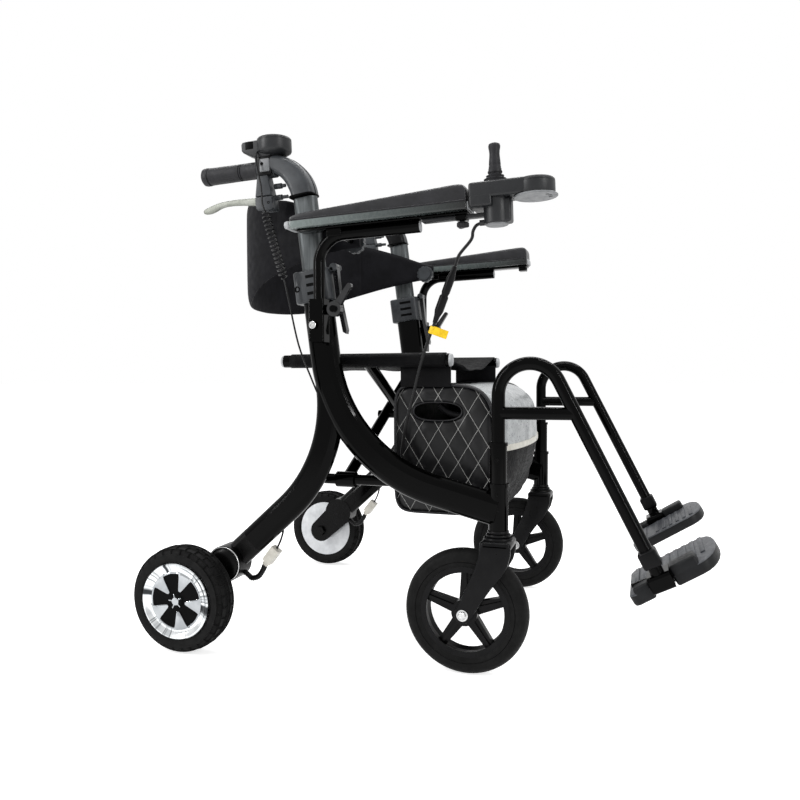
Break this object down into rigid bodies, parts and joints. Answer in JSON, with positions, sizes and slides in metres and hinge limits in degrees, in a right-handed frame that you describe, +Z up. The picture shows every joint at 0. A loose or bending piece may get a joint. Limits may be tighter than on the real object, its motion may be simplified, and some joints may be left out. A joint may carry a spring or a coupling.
{
  "type": "powered rollator transport chair",
  "caption": "Folding walking frame that doubles as a pushed or joystick-driven transport chair, with hub-motor rear wheels, swivel casters, armrests and swing-away legrests.",
  "frame": {"origin": "on the floor, below the middle of the chair box in length and width", "axes": "+X forward, the way the sitter faces; +Y to the sitter left; +Z up"},
  "size_m": [0.9607, 0.6702, 0.8839],
  "materials": {
    "frame_black": "gloss black powder coat",
    "cast_black": "gloss black cast",
    "hub_white": "satin",
    "hub_chrome": "mirror plated",
    "tyre_block": "moulded",
    "tyre_smooth": "moulded",
    "fork_plastic": "satin",
    "rim_grey": "satin",
    "post_grey": "satin anodised",
    "elbow_plastic": "satin",
    "grip_rubber": "matte",
    "lever_alloy": "satin",
    "clamp_plastic": "satin",
    "lever_steel": "brushed",
    "arm_black": "gloss black powder coat",
    "pad_leather": "soft sheen",
    "knob_plastic": "satin",
    "foot_plastic": "satin",
    "plug_white": "moulded",
    "cable_black": "extruded",
    "sling_cloth": "woven",
    "bag_leather": "quilted",
    "pack_plastic": "moulded",
    "back_foam": "laminated foam",
    "pod_plastic": "moulded",
    "boot_rubber": "moulded",
    "button_plastic": "moulded"
  },
  "bodies": {
    "right_frame": {"side_frame_right": "frame_black", "motor_mount_right": "cast_black", "post_clamp_right": "clamp_plastic", "motor_plug_right": "plug_white", "motor_lead_right": "cable_black", "backrest": "back_foam", "curly_cord": "cable_black", "joystick_lead": "cable_black", "lead_plugs": "knob_plastic"},
    "left_frame": {"side_frame_left": "frame_black", "motor_mount_left": "cast_black", "post_clamp_left": "clamp_plastic", "motor_plug_left": "plug_white", "motor_lead_left": "cable_black"},
    "brace_right": {"cross_brace_right": "frame_black"},
    "brace_left": {"cross_brace_left": "frame_black"},
    "seat": {"seat_sling": "sling_cloth", "bag": "bag_leather", "battery_pack": "pack_plastic"},
    "controller": {"joystick_box": "pod_plastic", "joystick_boot": "boot_rubber"},
    "gimbal": {"joystick_gimbal": "lever_steel"},
    "stick": {"joystick_stick": "knob_plastic"},
    "power_button": {"power_button": "button_plastic"},
    "thumb_knob": {"thumb_knob": "knob_plastic"},
    "rear_wheel_right": {"rear_hub_right": "hub_white", "hub_cover_right": "hub_chrome", "rear_tyre_right": "tyre_block"},
    "caster_right": {"caster_fork_right": "fork_plastic"},
    "front_wheel_right": {"front_rim_right": "rim_grey", "front_tyre_right": "tyre_smooth"},
    "handle_right": {"handle_post_right": "post_grey", "handle_elbow_right": "elbow_plastic", "grip_right": "grip_rubber", "control_pod": "pod_plastic"},
    "brake_lever_right": {"brake_lever_right": "lever_alloy"},
    "clamp_lever_right": {"clamp_lever_right": "lever_steel"},
    "arm_right": {"arm_support_right": "arm_black", "arm_pad_right": "pad_leather", "backrest_knob_right": "knob_plastic"},
    "arm_lever_right": {"arm_lever_right": "lever_alloy"},
    "legrest_right": {"legrest_right": "frame_black"},
    "footplate_right": {"footplate_right": "foot_plastic"},
    "rear_wheel_left": {"rear_hub_left": "hub_white", "hub_cover_left": "hub_chrome", "rear_tyre_left": "tyre_block"},
    "caster_left": {"caster_fork_left": "fork_plastic"},
    "front_wheel_left": {"front_rim_left": "rim_grey", "front_tyre_left": "tyre_smooth"},
    "handle_left": {"handle_post_left": "post_grey", "handle_elbow_left": "elbow_plastic", "grip_left": "grip_rubber"},
    "brake_lever_left": {"brake_lever_left": "lever_alloy"},
    "clamp_lever_left": {"clamp_lever_left": "lever_steel"},
    "arm_left": {"arm_support_left": "arm_black", "arm_pad_left": "pad_leather", "backrest_knob_left": "knob_plastic"},
    "arm_lever_left": {"arm_lever_left": "lever_alloy"},
    "legrest_left": {"legrest_left": "frame_black"},
    "footplate_left": {"footplate_left": "foot_plastic"}
  },
  "joints": [
    {"name": "fold", "type": "slide", "parent": "right_frame", "child": "left_frame", "axis": [0, -1, 0], "range_m": [0, 0.13], "deforming": ["backrest", "seat_sling", "bag", "joystick_lead", "lead_plugs"]},
    {"name": "brace_right_pivot", "type": "hinge", "parent": "right_frame", "child": "brace_right", "pos_m": [-0.08729, -0.204, 0.294], "axis": [1, 0, 0], "range_deg": [0, 27.1]},
    {"name": "brace_left_pivot", "type": "hinge", "parent": "left_frame", "child": "brace_left", "pos_m": [-0.08729, 0.204, 0.294], "axis": [-1, 0, 0], "range_deg": [0, 27.1]},
    {"name": "seat_level", "type": "hinge", "parent": "brace_right", "child": "seat", "pos_m": [-0.08729, 0.204, 0.499], "axis": [-1, 0, 0], "range_deg": [0, 27.1]},
    {"name": "rear_wheel_right_spin", "type": "hinge", "parent": "right_frame", "child": "rear_wheel_right", "pos_m": [-0.38728, -0.308, 0.093], "axis": [0, 1, 0], "continuous": true},
    {"name": "caster_right_swivel", "type": "hinge", "parent": "right_frame", "child": "caster_right", "pos_m": [0.14872, -0.248, 0.24], "axis": [0, 0, 1], "continuous": true},
    {"name": "front_wheel_right_spin", "type": "hinge", "parent": "caster_right", "child": "front_wheel_right", "pos_m": [0.09771, -0.248, 0.1], "axis": [0, 1, 0], "continuous": true},
    {"name": "handle_right_height", "type": "slide", "parent": "right_frame", "child": "handle_right", "axis": [-0.1288, 0, 0.9917], "range_m": [0, 0.08], "deforming": ["curly_cord"]},
    {"name": "brake_lever_right_pull", "type": "hinge", "parent": "handle_right", "child": "brake_lever_right", "pos_m": [-0.2528, -0.248, 0.76887], "axis": [0, 1, 0], "range_deg": [0, 12], "stiffness_Nm_per_rad": 2, "springref_deg": -5.73},
    {"name": "clamp_lever_right_open", "type": "hinge", "parent": "right_frame", "child": "clamp_lever_right", "pos_m": [-0.12469, -0.248, 0.65324], "axis": [0, -1, 0], "range_deg": [0, 100]},
    {"name": "arm_right_height", "type": "slide", "parent": "right_frame", "child": "arm_right", "axis": [0, 0, 1], "range_m": [0, 0.04], "deforming": ["backrest", "joystick_lead", "lead_plugs"]},
    {"name": "arm_lever_right_turn", "type": "hinge", "parent": "right_frame", "child": "arm_lever_right", "pos_m": [-0.10429, -0.292, 0.58], "axis": [0, 1, 0], "range_deg": [0, 90]},
    {"name": "legrest_right_swing", "type": "hinge", "parent": "right_frame", "child": "legrest_right", "pos_m": [0.14872, -0.248, 0.34], "axis": [0, 0, -1], "range_deg": [0, 90]},
    {"name": "footplate_right_flip", "type": "hinge", "parent": "legrest_right", "child": "footplate_right", "pos_m": [0.38924, -0.224, 0.17252], "axis": [0.8918, 0, 0.4524], "range_deg": [0, 90]},
    {"name": "rear_wheel_left_spin", "type": "hinge", "parent": "left_frame", "child": "rear_wheel_left", "pos_m": [-0.38728, 0.308, 0.093], "axis": [0, 1, 0], "continuous": true},
    {"name": "caster_left_swivel", "type": "hinge", "parent": "left_frame", "child": "caster_left", "pos_m": [0.14872, 0.248, 0.24], "axis": [0, 0, 1], "continuous": true},
    {"name": "front_wheel_left_spin", "type": "hinge", "parent": "caster_left", "child": "front_wheel_left", "pos_m": [0.09771, 0.248, 0.1], "axis": [0, 1, 0], "continuous": true},
    {"name": "handle_left_height", "type": "slide", "parent": "left_frame", "child": "handle_left", "axis": [-0.1288, 0, 0.9917], "range_m": [0, 0.08]},
    {"name": "brake_lever_left_pull", "type": "hinge", "parent": "handle_left", "child": "brake_lever_left", "pos_m": [-0.2528, 0.248, 0.76887], "axis": [0, 1, 0], "range_deg": [0, 12], "stiffness_Nm_per_rad": 2, "springref_deg": -5.73},
    {"name": "clamp_lever_left_open", "type": "hinge", "parent": "left_frame", "child": "clamp_lever_left", "pos_m": [-0.12469, 0.248, 0.65324], "axis": [0, -1, 0], "range_deg": [0, 100]},
    {"name": "arm_left_height", "type": "slide", "parent": "left_frame", "child": "arm_left", "axis": [0, 0, 1], "range_m": [0, 0.04], "deforming": ["backrest"]},
    {"name": "arm_lever_left_turn", "type": "hinge", "parent": "left_frame", "child": "arm_lever_left", "pos_m": [-0.10429, 0.292, 0.58], "axis": [0, 1, 0], "range_deg": [0, 90]},
    {"name": "legrest_left_swing", "type": "hinge", "parent": "left_frame", "child": "legrest_left", "pos_m": [0.14872, 0.248, 0.34], "axis": [0, 0, 1], "range_deg": [0, 90]},
    {"name": "footplate_left_flip", "type": "hinge", "parent": "legrest_left", "child": "footplate_left", "pos_m": [0.38924, 0.224, 0.17252], "axis": [-0.8918, 0, -0.4524], "range_deg": [0, 90]},
    {"name": "controller_reach", "type": "slide", "parent": "arm_right", "child": "controller", "axis": [0.9995, 0, 0.0314], "range_m": [0, 0.03], "deforming": ["joystick_lead", "lead_plugs"]},
    {"name": "stick_fore_aft", "type": "hinge", "parent": "controller", "child": "gimbal", "pos_m": [0.1527, -0.292, 0.74768], "axis": [0, 1, 0], "range_deg": [-18, 18], "stiffness_Nm_per_rad": 0.15, "deforming": ["joystick_boot"]},
    {"name": "stick_sideways", "type": "hinge", "parent": "gimbal", "child": "stick", "pos_m": [0.1527, -0.292, 0.74768], "axis": [0.9995, 0, 0.0314], "range_deg": [-18, 18], "stiffness_Nm_per_rad": 0.15, "deforming": ["joystick_boot"]},
    {"name": "power_button_press", "type": "slide", "parent": "controller", "child": "power_button", "axis": [0.0314, 0, -0.9995], "range_m": [0, 0.0015], "stiffness_N_per_m": 400, "springref_m": -0.001},
    {"name": "thumb_knob_turn", "type": "hinge", "parent": "arm_right", "child": "thumb_knob", "pos_m": [0.10221, -0.292, 0.69907], "axis": [-0.0314, 0, 0.9995], "continuous": true}
  ],
  "couplings": [
    {"joint": "brace_right_pivot", "follows": "fold", "rad_per_m": 3.5977},
    {"joint": "brace_left_pivot", "follows": "fold", "rad_per_m": 3.5977},
    {"joint": "seat_level", "follows": "fold", "rad_per_m": 3.5977}
  ]
}
